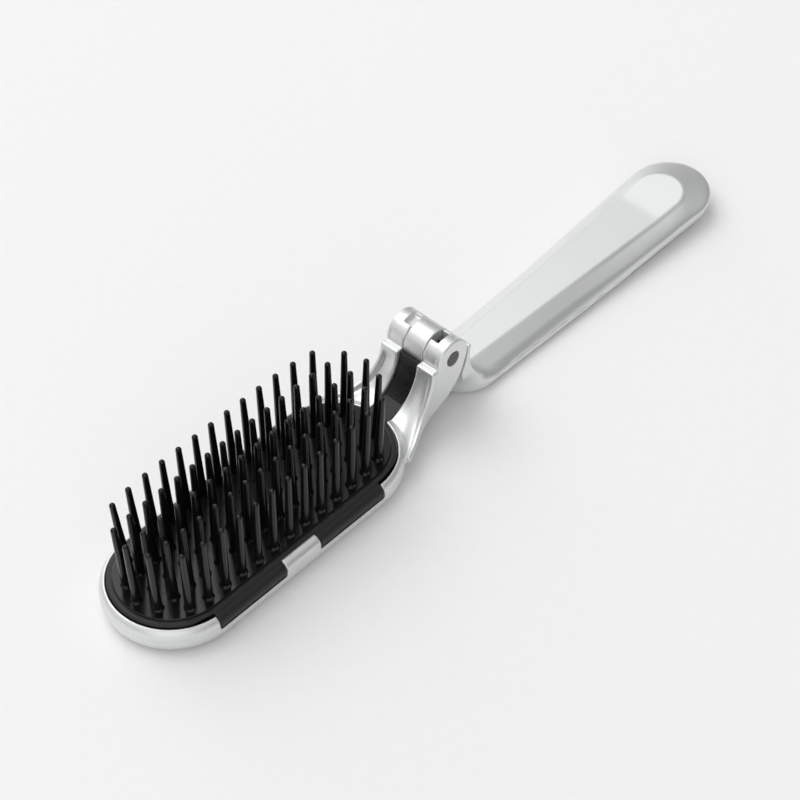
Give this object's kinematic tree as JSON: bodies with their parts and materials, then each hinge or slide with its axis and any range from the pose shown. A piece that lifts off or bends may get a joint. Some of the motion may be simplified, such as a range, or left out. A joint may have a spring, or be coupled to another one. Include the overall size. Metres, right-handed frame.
{
  "type": "folding hairbrush",
  "caption": "Folding hairbrush: a silver tray head whose bristle plate opens over a mirror, with a handle that folds over the bristles on a barrel hinge.",
  "frame": {"origin": "middle of the head on the flat of its back, the plane the open brush lies on", "axes": "+X from the head along the open handle, +Z out of the bristle side, -Y side holds the lid's hinge"},
  "size_m": [0.2005, 0.034, 0.0284],
  "materials": {
    "silver_paint": "satin metallic paint on moulded plastic",
    "black_plastic": "satin",
    "gloss_black": "gloss",
    "grey_plastic": "fine matt",
    "tape": "matt foam tape",
    "mirror": "polished",
    "steel_wire": "drawn wire"
  },
  "bodies": {
    "head": {"head_frame": "silver_paint", "head_back_cover": "silver_paint", "mirror_tray": "black_plastic", "mirror_tape": "tape", "mirror_glass": "mirror", "lid_hinge_pin": "steel_wire", "handle_hinge_pin": "grey_plastic"},
    "lid": {"bristle_lid": "grey_plastic", "bristle_pad": "gloss_black"},
    "handle": {"handle_shell": "silver_paint", "handle_back_cover": "silver_paint"}
  },
  "joints": [
    {"name": "handle_fold", "type": "hinge", "parent": "head", "child": "handle", "pos_m": [0.0581, 0, 0.0188], "axis": [0, -1, 0], "range_deg": [0, 180]},
    {"name": "lid_open", "type": "hinge", "parent": "head", "child": "lid", "pos_m": [0, -0.0148, 0.0054], "axis": [1, 0, 0], "range_deg": [0, 105]}
  ]
}
